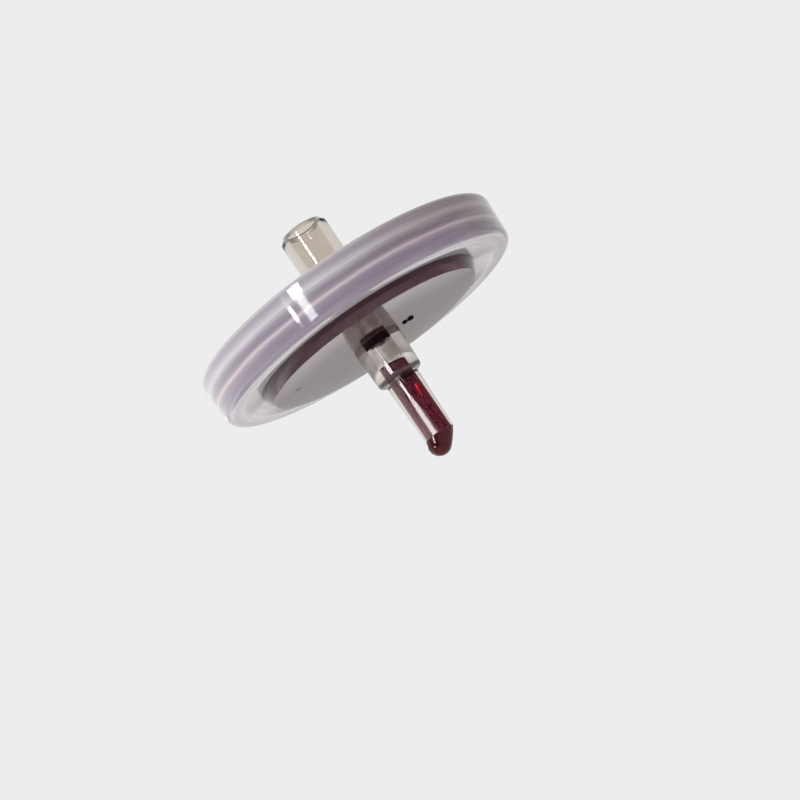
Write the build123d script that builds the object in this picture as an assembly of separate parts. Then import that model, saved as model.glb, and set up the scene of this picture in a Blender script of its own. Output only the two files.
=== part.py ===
from build123d import *
import math
import os

# A disposable syringe filter on one axis, Z, with its inlet up and its outlet down.
# Two clear moulded housings clamp a round membrane between their flanges, and a milky ring is
# moulded round both flanges, which locks and seals them. The filter is full of the liquid that it
# filters, with an air bubble in the outlet bore and a drop hanging from the outlet's tip.
# All sizes are in millimetres. The origin is the centre of the inlet socket's mouth.

# Sealing ring
ring_diameter = 42.0  # at the top edge, where it is widest
ring_thickness = 5.82
ring_draft = 3.4  # degrees: the outer wall narrows towards the outlet side
ring_top_edge = 0.60
ring_bottom_edge = 0.77
ring_width = 5.4  # from its edge in to the window, the hole that both housings show in
lip_dish = 0.49  # how far the ring's outlet face sinks towards the window
lip_width = 2.4  # of the sunken band beside the window
mouth_above_ring = 10.01

# Membrane and its clamp
membrane_rise = 2.34  # from the ring's bottom face to the membrane's underside
membrane_thickness = 0.30
flange_width = 2.6  # how far both flanges, and the membrane between them, reach into the ring
flange_thickness = 1.10

# Chambers and plates
housing_wall = 1.2  # between the window and the chambers
inlet_chamber_depth = 2.75
outlet_chamber_depth = 2.19
inlet_plate = 1.10
outlet_plate = 1.20
plateau_slope = 0.90  # how much each raised plate narrows from the window to its face

# Inlet hub, with a female 6 % slip taper
taper = 0.06  # change of diameter with length
socket_mouth_diameter = 4.27
socket_depth = 8.50
socket_lead_in = 0.15
hub_wall = 1.09  # beside the socket's mouth
hub_chamfer_width = 0.45
hub_chamfer_length = 0.60
inlet_channel_diameter = 2.35
base_fillet = 0.35  # where the hub and the collar grow out of their plates

# Outlet collar and tip, with a male 6 % slip taper
collar_length = 5.68
collar_shoulder = 0.77  # how far the collar's end stands out round the root of the tip
collar_draft = 0.22  # how much wider the collar is at its base, on each side
collar_end_edge = 0.50
tip_length = 8.45
tip_end_diameter = 3.96
tip_end_edge = 0.05
outlet_bore_diameter = 2.35
drain_well_diameter = 3.80
drain_well_depth = 0.70

# Membrane supports: tall ribs under the membrane, low spokes above it
rib_width = 0.70
rib_pair_count = 10  # each pair is a long and a short rib
rib_to_well = 1.1
rib_to_wall = 1.2
collecting_channel_radius = 6.3  # a circular gap in the long ribs that evens out the flow
collecting_channel_width = 1.0
spoke_count = 10
spoke_width = 0.70
spoke_start = 4.0  # the spokes' inner ends, from the axis
spoke_to_wall = 1.6
spoke_depth = 1.20

# Liquid
bubble_drop = 0.81  # from the outlet plateau's face down to the air bubble's top
bubble_length = 2.69
drop_radius = 1.52
drop_length = 2.47
drop_sag = 0.70  # how far the drop's ball hangs to one side, towards -X

# Levels along the axis
ring_top = -mouth_above_ring
ring_bottom = ring_top - ring_thickness
membrane_bottom = ring_bottom + membrane_rise
membrane_top = membrane_bottom + membrane_thickness
inlet_ceiling = membrane_top + inlet_chamber_depth
inlet_face = inlet_ceiling + inlet_plate
outlet_floor = membrane_bottom - outlet_chamber_depth
outlet_face = outlet_floor - outlet_plate
inlet_flange_top = membrane_top + flange_thickness
outlet_flange_bottom = membrane_bottom - flange_thickness
socket_floor = -socket_depth
collar_end = outlet_face - collar_length
tip_end = collar_end - tip_length
bubble_top = outlet_face - bubble_drop
bubble_bottom = bubble_top - bubble_length

# Radii
ring_radius = ring_diameter / 2
ring_bottom_radius = ring_radius - ring_thickness * math.tan(math.radians(ring_draft))
window_radius = ring_radius - ring_width
flange_radius = window_radius + flange_width
chamber_radius = window_radius - housing_wall
plateau_radius = window_radius - plateau_slope
bore_radius = outlet_bore_diameter / 2
well_radius = drain_well_diameter / 2
channel_radius = inlet_channel_diameter / 2
tip_end_radius = tip_end_diameter / 2
tip_root_radius = (tip_end_diameter + taper * tip_length) / 2
collar_end_radius = tip_root_radius + collar_shoulder
collar_base_radius = collar_end_radius + collar_draft
socket_mouth_radius = socket_mouth_diameter / 2
socket_floor_radius = (socket_mouth_diameter - taper * socket_depth) / 2
hub_radius = socket_mouth_radius + hub_wall


def eased(before, corner, after, rounding, flats):
    """The points that replace a corner of an outline: the two ends of its rounding and, with two
    flats, the middle of its arc between them."""
    middle = Vector(*corner[:2])
    back = (Vector(*before[:2]) - middle).normalized()
    ahead = (Vector(*after[:2]) - middle).normalized()
    half_angle = math.radians(back.get_angle(ahead)) / 2
    reach = rounding / math.tan(half_angle)
    sagitta = rounding / math.sin(half_angle) - rounding
    arc_middle = [middle + (back + ahead).normalized() * sagitta] if flats == 2 else []
    return [middle + back * reach, *arc_middle, middle + ahead * reach]


def turned(*corners):
    """A solid of revolution from a closed outline. A corner is (radius, level) or, where its edge is
    eased, (radius, level, rounding, number of flats)."""
    points = []
    for i, corner in enumerate(corners):
        if len(corner) == 2:
            points.append(Vector(*corner))
        else:
            points += eased(corners[i - 1], corner, corners[(i + 1) % len(corners)], *corner[2:])
    outline = Polyline(*[(point.X, 0, point.Y) for point in points], close=True)
    return revolve(make_face(outline), Axis.Z)


def sealing_ring():
    lip_radius = window_radius + lip_width
    return turned(
        (ring_bottom_radius, ring_bottom, ring_bottom_edge, 2),
        (ring_radius, ring_top, ring_top_edge, 1),
        (window_radius, ring_top),
        (window_radius, inlet_flange_top),
        (flange_radius, inlet_flange_top),
        (flange_radius, outlet_flange_bottom),
        (window_radius, outlet_flange_bottom),
        (window_radius, ring_bottom + lip_dish),
        (lip_radius, ring_bottom),
    )


def around(piece, count, first_angle=0):
    """Copies of a piece, evenly spaced about the axis."""
    return [Rot(0, 0, first_angle + 360 / count * i) * piece for i in range(count)]


def radial_bar(start, end, width, bottom, top):
    """A straight bar along +X from one radius to another, between two levels."""
    place = Pos((start + end) / 2, 0, (bottom + top) / 2)
    return place * Box(end - start, width, top - bottom)


def spreading_spokes():
    """Low ribs under the inlet plate that spread the liquid over the membrane."""
    end = chamber_radius - spoke_to_wall
    spoke = radial_bar(spoke_start, end, spoke_width, inlet_ceiling - spoke_depth, inlet_ceiling)
    return around(spoke, spoke_count)


def support_ribs():
    """Ribs that stand on the outlet plate and carry the membrane, long and short in turn. The
    filtered liquid runs between them to the drain well, and a circular channel breaks the long ones."""
    levels = (outlet_floor, membrane_bottom)
    start = well_radius + rib_to_well
    channel_end = collecting_channel_radius + collecting_channel_width
    inner = radial_bar(start, collecting_channel_radius, rib_width, *levels)
    outer = radial_bar(channel_end, chamber_radius - rib_to_wall, rib_width, *levels)
    # A long rib is an inner and an outer bar in line, and a short rib is an outer bar alone.
    return around(inner, rib_pair_count) + around(outer, 2 * rib_pair_count)


def inlet_chamber():
    """The space above the membrane, with the channel up to the socket's floor."""
    return turned(
        (0, membrane_top),
        (chamber_radius, membrane_top),
        (chamber_radius, inlet_ceiling),
        (channel_radius, inlet_ceiling),
        (channel_radius, socket_floor),
        (0, socket_floor),
    )


def outlet_chamber(bottom):
    """The space below the membrane, with the drain well and the bore down to a level."""
    return turned(
        (0, membrane_bottom),
        (chamber_radius, membrane_bottom),
        (chamber_radius, outlet_floor),
        (well_radius, outlet_floor),
        (bore_radius, outlet_floor - drain_well_depth),
        (bore_radius, bottom),
        (0, bottom),
    )


def inlet_housing():
    body = turned(
        (0, membrane_top),
        (flange_radius, membrane_top),
        (flange_radius, inlet_flange_top),
        (window_radius, inlet_flange_top),
        (window_radius, ring_top),
        (plateau_radius, inlet_face),
        (hub_radius, inlet_face, base_fillet, 1),
        (hub_radius, -hub_chamfer_length),
        (hub_radius - hub_chamfer_width, 0),
        (0, 0),
    )
    lead_in_radius = socket_mouth_radius - taper / 2 * socket_lead_in
    socket = turned(
        (0, 0),
        (socket_mouth_radius + socket_lead_in, 0),
        (lead_in_radius, -socket_lead_in),
        (socket_floor_radius, socket_floor),
        (0, socket_floor),
    )
    return body - socket - inlet_chamber() + spreading_spokes()


def outlet_housing():
    body = turned(
        (0, membrane_bottom),
        (flange_radius, membrane_bottom),
        (flange_radius, outlet_flange_bottom),
        (window_radius, outlet_flange_bottom),
        (window_radius, ring_bottom + lip_dish),
        (plateau_radius, outlet_face),
        (collar_base_radius, outlet_face, base_fillet, 1),
        (collar_end_radius, collar_end, collar_end_edge, 2),
        (tip_root_radius, collar_end),
        (tip_end_radius, tip_end, tip_end_edge, 1),
        (0, tip_end),
    )
    return body - outlet_chamber(tip_end) + support_ribs()


def membrane():
    middle = (membrane_bottom + membrane_top) / 2
    return Pos(0, 0, middle) * Cylinder(flange_radius, membrane_thickness)


def upstream_liquid():
    return inlet_chamber() - spreading_spokes()


def downstream_liquid():
    return outlet_chamber(bubble_top) - support_ribs()


def touch_point(edge_x, ball, side):
    """Where a straight line from the tip's edge at edge_x touches the drop's ball, in the XZ plane.
    The line passes on the right of the ball where side is 1, and on its left where side is -1."""
    edge = Vector(edge_x, 0, tip_end)
    reach = ball - edge
    length = math.sqrt(reach.length**2 - drop_radius**2)
    turn = side * math.degrees(math.asin(drop_radius / reach.length))
    return edge + reach.rotate(Axis.Y, -turn).normalized() * length


def hanging_drop():
    """The drop wets the whole end of the tip. It is a ball below and to one side of the tip, with
    straight flanks from the tip's edge that meet the ball along one tilted circle."""
    edge = tip_end_radius - tip_end_edge
    ball = Vector(-drop_sag, 0, tip_end - drop_length + drop_radius)
    left = touch_point(-edge, ball, -1)
    right = touch_point(edge, ball, 1)
    across = right - left
    seam = Plane(origin=(left + right) / 2, x_dir=across, z_dir=across.cross(Vector(0, 1, 0)))
    flanks = loft([Pos(0, 0, tip_end) * Circle(edge).face(), (seam * Circle(across.length / 2)).face()])
    return flanks + split(Pos(*ball) * Sphere(drop_radius), seam, keep=Keep.BOTTOM)


def outlet_liquid():
    """The liquid below the air bubble, in one piece with the drop that hangs from the tip."""
    length = bubble_bottom - tip_end
    column = Pos(0, 0, tip_end + length / 2) * Cylinder(bore_radius, length)
    return column + hanging_drop()


parts = {
    "inlet_housing": inlet_housing(),
    "outlet_housing": outlet_housing(),
    "sealing_ring": sealing_ring(),
    "membrane": membrane(),
    "upstream_liquid": upstream_liquid(),
    "downstream_liquid": downstream_liquid(),
    "outlet_liquid": outlet_liquid(),
}

os.makedirs("parts", exist_ok=True)
for name, shape in parts.items():
    export_step(shape, f"parts/{name}.step")
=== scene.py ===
# %% [markdown]
# # A syringe filter, clear, milky and full of dark red liquid
#
# A syringe filter is a small disc that cleans a liquid on its way out of a syringe. Two clear
# housings clamp a round membrane, a milky ring is moulded round both of them, and a drop of the
# filtered liquid hangs from the outlet's tip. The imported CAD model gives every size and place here.
# Blender adds what the CAD leaves out: true roundings, curved liquid surfaces, the marks of use
# and, above all, materials that let light through.

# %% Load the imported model
import math

import bmesh
import bpy
from mathutils import Matrix, Vector


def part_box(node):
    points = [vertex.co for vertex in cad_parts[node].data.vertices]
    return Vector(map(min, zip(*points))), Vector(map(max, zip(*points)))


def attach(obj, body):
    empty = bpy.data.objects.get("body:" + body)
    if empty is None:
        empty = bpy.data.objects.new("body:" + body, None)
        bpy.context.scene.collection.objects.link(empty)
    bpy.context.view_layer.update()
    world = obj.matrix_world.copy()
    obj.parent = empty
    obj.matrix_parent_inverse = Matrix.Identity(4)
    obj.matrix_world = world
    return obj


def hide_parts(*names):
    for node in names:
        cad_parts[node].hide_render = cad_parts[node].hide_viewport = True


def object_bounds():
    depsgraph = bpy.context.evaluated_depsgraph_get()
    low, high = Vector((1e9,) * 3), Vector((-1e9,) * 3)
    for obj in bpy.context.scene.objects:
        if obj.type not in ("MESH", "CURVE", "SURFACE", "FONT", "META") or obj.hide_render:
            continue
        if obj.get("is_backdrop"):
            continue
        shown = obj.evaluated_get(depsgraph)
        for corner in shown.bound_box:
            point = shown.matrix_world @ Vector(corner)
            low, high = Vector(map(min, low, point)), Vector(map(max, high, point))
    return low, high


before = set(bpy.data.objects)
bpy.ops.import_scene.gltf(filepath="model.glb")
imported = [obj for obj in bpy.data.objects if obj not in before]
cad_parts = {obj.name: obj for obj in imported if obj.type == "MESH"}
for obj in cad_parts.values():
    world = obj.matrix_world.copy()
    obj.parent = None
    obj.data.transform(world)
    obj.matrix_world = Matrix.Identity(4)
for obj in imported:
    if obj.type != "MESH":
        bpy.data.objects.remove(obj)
cad_box = [[float(x) for x in corner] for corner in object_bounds()]
print("nodes:", ", ".join(sorted(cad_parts)))

# %% [markdown]
# ## Sizes
#
# All sizes below are in millimetres, because that is how such a part is drawn, and MM turns them
# into Blender's metres. Levels count along the filter's axis, Z, from the mouth of the inlet, and
# they come from the boxes of the CAD nodes. Only what a box can't tell, such as a rounding or a
# wall, is given here as a number.

# %% Levels and radii from the CAD boxes
MM = 0.001


def box_mm(node):
    """The lowest and highest corner of a CAD node, in millimetres."""
    low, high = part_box(node)
    return Vector(low) / MM, Vector(high) / MM


ring_low, ring_high = box_mm("sealing_ring")
sheet_low, sheet_high = box_mm("membrane")
drop_low, drop_high = box_mm("outlet_liquid")
chamber_high = box_mm("upstream_liquid")[1]

ring_top, ring_bottom = ring_high.z, ring_low.z
sheet_top, sheet_bottom = sheet_high.z, sheet_low.z
mouth, socket_floor = box_mm("inlet_housing")[1].z, chamber_high.z
bubble_top, bubble_bottom = box_mm("downstream_liquid")[0].z, drop_high.z
tip_end = box_mm("outlet_housing")[0].z
flange_radius, chamber_radius = sheet_high.x, chamber_high.x
print(f"ring from {ring_top:.2f} to {ring_bottom:.2f} mm, tip's end at {tip_end:.2f} mm")

# %% Sizes that no box gives
ring_radius = 21.0  # at the sharp corner that the top rounding takes away
ring_draft = 3.4  # degrees
window_radius = 15.6  # of the hole in the ring, where the housings show
plateau_radius = 14.7
lip_dish, lip_width = 0.49, 2.4  # the ring's outlet face sinks by this much over this width
flange_thickness = 1.10
inlet_ceiling, inlet_face = sheet_top + 2.75, sheet_top + 3.85
outlet_floor, outlet_face = sheet_bottom - 2.19, sheet_bottom - 3.39
hub_radius, hub_chamfer = 3.225, (0.45, 0.60)
socket_mouth_radius, taper = 2.135, 0.06
bore_radius, well_radius, well_depth = 1.175, 1.9, 0.70
collar_length, collar_shoulder, collar_draft = 5.68, 0.77, 0.22
collar_end = outlet_face - collar_length
tip_end_radius = 1.98
tip_root_radius = tip_end_radius + taper / 2 * (collar_end - tip_end)
collar_end_radius = tip_root_radius + collar_shoulder
collar_base_radius = collar_end_radius + collar_draft
rib_width = 0.70
SEAM = 0.015  # the hair's breadth kept between a wall and the liquid that wets it
print(f"chambers {2 * chamber_radius:.1f} mm across, collar's end at {collar_end:.2f} mm")

# %% [markdown]
# ## The camera
#
# The filter is seen from below, with its outlet towards us, and it leans in the picture because
# the camera is rolled. A long lens keeps the disc's ellipse flat, as it is when one stands back
# from a small object. The camera looks along a line to a point on the axis first. Then it turns a
# little, so that this point lies left of the picture's middle and above it.

# %% Place the camera
look_up = math.asin(0.210)  # about 12 degrees
look = Vector((0, math.cos(look_up), math.sin(look_up)))
aim_point, camera_distance = Vector((0, 0, -0.01534)), 0.2461  # metres
turn_right, turn_down = 0.0155, 0.0351  # as shares of the distance
roll = math.radians(34.2)
level_right, level_up = Vector((1, 0, 0)), Vector((1, 0, 0)).cross(look)
right = level_right * math.cos(roll) - level_up * math.sin(roll)
up = level_right * math.sin(roll) + level_up * math.cos(roll)
forward = (look + right * turn_right - up * turn_down).normalized()
right = (right - forward * right.dot(forward)).normalized()
up = right.cross(forward)

camera_data = bpy.data.cameras.new("camera")
camera_data.lens, camera_data.sensor_width = 90.0, 36.0
camera_data.clip_start, camera_data.clip_end = 0.01, 20.0
camera = bpy.data.objects.new("camera", camera_data)
camera.matrix_world = Matrix.Translation(aim_point - look * camera_distance) @ Matrix(
    (right, up, -forward)
).transposed().to_4x4()
bpy.context.scene.collection.objects.link(camera)
bpy.context.scene.camera = camera
print("camera at", [round(v, 4) for v in camera.location])

# %% [markdown]
# ## Turning a profile into a solid
#
# Nearly every piece of a syringe filter is round, so its mould was turned on a lathe. The same is
# done here: a closed outline in the plane of radius and level is carried round the axis. An outline
# is a list of corners. Each corner has a radius, a level, a rounding and the number of the material
# that its face gets, up to the next corner. A belt of faces joins each circle to the next one.
# Corners on the axis become one single vertex, so the poles are closed.

# %% Round the corners of an outline
def rounded(corners, steps=7, guard=0.03):
    """An outline with its roundings drawn as arcs: a list of (radius, level, slot). Each arc gets a
    point close by on either side, which keeps the shading of the straight runs straight."""
    legs = []
    for i, (radius, level, rounding, _) in enumerate(corners):
        corner = Vector((radius, level))
        back = Vector(corners[i - 1][:2]) - corner
        ahead = Vector(corners[(i + 1) % len(corners)][:2]) - corner
        half = back.angle(ahead) / 2
        legs.append((corner, back, ahead, half, rounding / math.tan(half)))
    points = []
    for i, (corner, back, ahead, half, reach) in enumerate(legs):
        rounding, slot = corners[i][2:]
        slot_before = corners[i - 1][3]
        if not rounding:
            points.append((corner.x, corner.y, slot))
            continue
        start, end = corner + back.normalized() * reach, corner + ahead.normalized() * reach
        inwards = (back.normalized() + ahead.normalized()).normalized()
        centre = corner + inwards * rounding / math.sin(half)
        if back.length - reach - legs[i - 1][4] > 3 * guard:
            spot = corner + back.normalized() * (reach + guard)
            points.append((spot.x, spot.y, slot_before))
        sweep = (start - centre).angle_signed(end - centre)
        for k in range(steps + 1):
            spot = centre + Matrix.Rotation(-sweep * k / steps, 2) @ (start - centre)
            points.append((spot.x, spot.y, slot_before if k < steps / 2 else slot))
        if ahead.length - reach - legs[(i + 1) % len(legs)][4] > 3 * guard:
            spot = corner + ahead.normalized() * (reach + guard)
            points.append((spot.x, spot.y, slot))
    return points


square = [(1, 0, 0.2, 0), (2, 0, 0, 0), (2, 1, 0, 0), (1, 1, 0, 0)]
print("a square with one rounding has", len(rounded(square)), "points")

# %% A lathe
LATHE_STEPS = 192


def belt(bm, here, there, slot=0):
    """Smooth faces between two circles of vertices. A circle of one vertex is a pole."""
    steps = max(len(here), len(there))
    if steps == 1:
        return
    for k in range(steps):
        n = (k + 1) % steps
        loop = [here[k % len(here)], here[n % len(here)],
                there[n % len(there)], there[k % len(there)]]
        face = bm.faces.new(list(dict.fromkeys(loop)))
        face.material_index, face.smooth = slot, True


def finished(name, bm, smooth=32):
    """A mesh object made of bm, at the origin, with edges sharper than `smooth` degrees sharp."""
    mesh = bpy.data.meshes.new(name)
    bm.to_mesh(mesh)
    bm.free()
    mesh.set_sharp_from_angle(angle=math.radians(smooth))
    piece = bpy.data.objects.new(name, mesh)
    bpy.context.scene.collection.objects.link(piece)
    return piece


def turned(name, corners, steps=LATHE_STEPS, smooth=32):
    """A closed solid of revolution, its mesh in metres. Slots are left for the materials."""
    bm = bmesh.new()
    rings, points = [], rounded(corners)
    turns = [2 * math.pi * i / steps for i in range(steps)]
    for radius, level, _ in points:
        if radius < 1e-6:
            rings.append([bm.verts.new((0, 0, level * MM))])
            continue
        rings.append([
            bm.verts.new((radius * MM * math.cos(a), radius * MM * math.sin(a), level * MM))
            for a in turns
        ])
    for i, (_, _, slot) in enumerate(points):
        belt(bm, rings[i], rings[(i + 1) % len(rings)], slot)
    bmesh.ops.recalc_face_normals(bm, faces=bm.faces)
    return finished(name, bm, smooth)


print("the lathe turns a profile in", LATHE_STEPS, "steps")

# %% [markdown]
# ## Colours and nodes
#
# A colour is written as one reads it on a screen, in hex. Blender computes in linear light, so one
# function turns the one into the other. A second one adds a node, sets its values and links its
# inputs in a single call, which keeps each material short enough to read.

# %% Small helpers for materials
def linear(colour):
    """A hex colour such as "ece9e4" as the four linear numbers that a colour socket takes."""
    parts = [int(colour[i : i + 2], 16) / 255 for i in (0, 2, 4)]
    return [p / 12.92 if p <= 0.04045 else ((p + 0.055) / 1.055) ** 2.4 for p in parts] + [1.0]


def add_node(tree, kind, values=None, links=None, **settings):
    """Adds a node. values sets its inputs, links joins its inputs to other nodes' outputs."""
    node = tree.nodes.new(kind)
    for setting, value in settings.items():
        setattr(node, setting, value)
    for socket, value in (values or {}).items():
        node.inputs[socket].default_value = value
    for socket, source in (links or {}).items():
        tree.links.new(source, node.inputs[socket])
    return node


def new_material(name):
    """An empty material, its node tree and its output node."""
    material = bpy.data.materials.new(name)
    material.use_nodes = True
    material.node_tree.nodes.clear()
    return material, material.node_tree, add_node(material.node_tree, "ShaderNodeOutputMaterial")


print("ece9e4 in linear light:", [round(part, 3) for part in linear("ece9e4")])

# %% [markdown]
# ## Clear acrylic for the housings
#
# The housings are injection moulded from a clear acrylic copolymer. It bends light like window
# glass, with an IOR of 1.50, and it isn't quite colourless: its thick parts, the collar above all,
# look faintly beige, and its thin ones hardly do. So the tint follows the level along the axis. Its
# surface copies a polished mould, so it is glossy, with a slow waviness where the plastic flowed
# and shrank. The two plates also bulge a little as they cool, by less than a tenth of a millimetre
# near their rims, and that makes them mirror a brighter part of the room there.
#
# Where two pieces are welded, and where this liquid wets the plastic and bends light just as much,
# there is no surface to see at all. Such faces get a material that lets every ray pass straight on,
# and that is why the dark core fills so much of the tip.

# %% Clear acrylic in air: a slow waviness, and a tint that follows the level
def moulded_waviness(tree, wave_mm, depth_mm):
    """The normal of a moulded surface that rises and falls slowly, with waves of a size in mm."""
    where = add_node(tree, "ShaderNodeTexCoord")
    waves = add_node(
        tree, "ShaderNodeTexNoise",
        {"Scale": 1 / (wave_mm * MM), "Detail": 2.0, "Roughness": 0.4},
        {"Vector": where.outputs["Object"]},
    )
    return add_node(
        tree, "ShaderNodeBump", {"Strength": 1.0, "Distance": depth_mm * MM},
        {"Height": waves.outputs["Fac"]},
    )


def put_stops(ramp_node, stops, start=0.0, end=1.0):
    """Gives a Color Ramp its stops, each a place between start and end with a hex colour or a
    level of grey."""
    ramp = ramp_node.color_ramp.elements
    while len(ramp) < len(stops):
        ramp.new(0.5)
    for element, (place, colour) in zip(ramp, stops):
        element.position = (place - start) / (end - start)
        element.color = linear(colour) if isinstance(colour, str) else (colour,) * 3 + (1,)


clear_acrylic, tree, output = new_material("clear_acrylic_moulded")
waviness = moulded_waviness(tree, wave_mm=6.0, depth_mm=0.00012)
where = add_node(tree, "ShaderNodeTexCoord")
split = add_node(tree, "ShaderNodeSeparateXYZ", {}, {0: where.outputs["Object"]})
along = add_node(
    tree, "ShaderNodeMapRange", {"From Min": tip_end * MM, "From Max": mouth * MM},
    {"Value": split.outputs["Z"]},
)
thickness_tint = add_node(tree, "ShaderNodeValToRGB", {}, {"Fac": along.outputs["Result"]})
put_stops(thickness_tint, [
    (tip_end, "f3f0ec"), (collar_end - 0.1, "efebe6"), (collar_end + 0.3, "bcb3a9"),
    (collar_end + 1.0, "cbc3ba"), (collar_end + 1.6, "f7f4f0"), (outlet_face, "f7f4f0"),
    (ring_top, "e6dfd8"), (mouth, "ece6df"),
], tip_end, mouth)
print("made", clear_acrylic.name, "with", len(thickness_tint.color_ramp.elements), "tints")

# %% Clear acrylic in air: bulging plates, and the plastic itself
def distance_from_axis(tree, where):
    """How far a place on a piece is from the filter's axis, as a node's output."""
    flat = add_node(
        tree, "ShaderNodeVectorMath", {1: (1, 1, 0)}, {0: where.outputs["Object"]},
        operation="MULTIPLY",
    )
    distance = add_node(
        tree, "ShaderNodeVectorMath", {}, {0: flat.outputs[0]}, operation="LENGTH"
    )
    return distance.outputs["Value"]


bulge_start, bulge_end, bulge_depth = 8.5, 15.0, 0.09  # radii and depth in mm
outwards = add_node(
    tree, "ShaderNodeMapRange", {"From Min": bulge_start * MM, "From Max": bulge_end * MM},
    {"Value": distance_from_axis(tree, where)},
)
sunk = add_node(
    tree, "ShaderNodeMath", {1: 2.0}, {0: outwards.outputs["Result"]}, operation="POWER"
)
bulged = add_node(
    tree, "ShaderNodeBump", {"Strength": 1.0, "Distance": bulge_depth * MM},
    {"Height": sunk.outputs[0], "Normal": waviness.outputs["Normal"]}, invert=True,
)
shader = add_node(
    tree, "ShaderNodeBsdfPrincipled",
    {"Roughness": 0.015, "IOR": 1.50, "Transmission Weight": 1.0},
    {"Base Color": thickness_tint.outputs[0], "Normal": bulged.outputs["Normal"]},
)
tree.links.new(shader.outputs[0], output.inputs["Surface"])
print(clear_acrylic.name, "has", len(tree.nodes), "nodes")

# %% A wetted or welded face, which has no surface to see
wet_or_welded, tree, output = new_material("acrylic_wetted_or_welded")
shader = add_node(tree, "ShaderNodeBsdfTransparent", {"Color": linear("ffffff")})
tree.links.new(shader.outputs[0], output.inputs["Surface"])
print("made", wet_or_welded.name)

# %% [markdown]
# Three finishes more belong to the housings. The liquid has left a thin, broken film on the wall of
# the air bubble, so this wall scatters some of the light and looks greyish white. The mould's steel
# was left rough by spark erosion at the collar's end, and that end is matt: it blurs what is behind
# it. The ribs inside are clear too, but what the eye meets through them is the wet membrane that
# they press on, in the dark liquid's red light. They get that colour instead, which is simpler and
# far less noisy.

# %% The wall of the air bubble, with a thin film on it
filmed_acrylic, tree, output = new_material("acrylic_filmed_bubble_wall")
where = add_node(tree, "ShaderNodeTexCoord")
film = add_node(
    tree, "ShaderNodeTexNoise", {"Scale": 1 / (1.2 * MM), "Detail": 2.0},
    {"Vector": where.outputs["Object"]},
)
clearness = add_node(
    tree, "ShaderNodeMapRange",
    {"From Min": 0.3, "From Max": 0.7, "To Min": 0.42, "To Max": 0.66},
    {"Value": film.outputs["Fac"]},
)
shader = add_node(
    tree, "ShaderNodeBsdfPrincipled",
    {"Base Color": linear("faf5ee"), "Roughness": 0.02, "IOR": 1.50},
    {"Transmission Weight": clearness.outputs["Result"]},
)
tree.links.new(shader.outputs[0], output.inputs["Surface"])
print("made", filmed_acrylic.name)

# %% The matt end of the collar, as sparked steel leaves it
matt_acrylic, tree, output = new_material("acrylic_matt_collar_end")
where = add_node(tree, "ShaderNodeTexCoord")
# Real spark grain is about 0.02 mm. It is drawn five times as coarse, so that it shows at all.
grit = add_node(
    tree, "ShaderNodeTexNoise", {"Scale": 1 / (0.1 * MM), "Detail": 2.0},
    {"Vector": where.outputs["Object"]},
)
frost = add_node(
    tree, "ShaderNodeBump", {"Strength": 0.5, "Distance": 0.004 * MM},
    {"Height": grit.outputs["Fac"]},
)
shader = add_node(
    tree, "ShaderNodeBsdfPrincipled",
    {"Base Color": linear("b5a9ac"), "Roughness": 0.18, "IOR": 1.50, "Transmission Weight": 0.94},
    {"Normal": frost.outputs["Normal"]},
)
tree.links.new(shader.outputs[0], output.inputs["Surface"])
print("made", matt_acrylic.name)

# %% A clear rib pressed on the wet membrane, seen end on
# A Mix node has hidden sockets for numbers and vectors too, so its colours go by number here.
COLOUR_A, COLOUR_B, MIXED = 6, 7, 2


def mottled(tree, spot_mm, first, second, detail=2.0):
    """A noise with spots of a size in mm, and the colour that it mixes from two others."""
    where = add_node(tree, "ShaderNodeTexCoord")
    noise = add_node(
        tree, "ShaderNodeTexNoise", {"Scale": 1 / (spot_mm * MM), "Detail": detail},
        {"Vector": where.outputs["Object"]},
    )
    mixed = add_node(
        tree, "ShaderNodeMix", {COLOUR_A: linear(first), COLOUR_B: linear(second)},
        {"Factor": noise.outputs["Fac"]}, data_type="RGBA",
    )
    return noise.outputs["Fac"], mixed.outputs[MIXED]


rib_on_membrane, tree, output = new_material("acrylic_rib_on_wet_membrane")
tint = mottled(tree, 0.8, "643c4a", "764a58")[1]
shader = add_node(
    tree, "ShaderNodeBsdfPrincipled", {"Roughness": 0.4, "Specular IOR Level": 0.0},
    {"Base Color": tint},
)
tree.links.new(shader.outputs[0], output.inputs["Surface"])
print("made", rib_on_membrane.name)

# %% [markdown]
# ## The inlet housing
#
# This half has the hub that a syringe's nozzle plugs into. The hub is a short tube with a slowly
# narrowing socket, and its end is chamfered. A plate joins it to the flange that clamps the
# membrane. The outline goes round once: along the flange, up the outside of the hub, over its rim
# and down the socket into the chamber. The face numbers are the materials' slots: plastic in air,
# wetted or welded plastic, ribs, the filmed wall of the bubble and the collar's matt end.

# %% Turn the inlet housing
def give(piece, *materials):
    """Puts the materials in the piece's slots, in the order of its faces' numbers."""
    slots = piece.data.materials
    for number, material in enumerate(materials):
        if number < len(slots):
            slots[number] = material
        else:
            slots.append(material)


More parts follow.
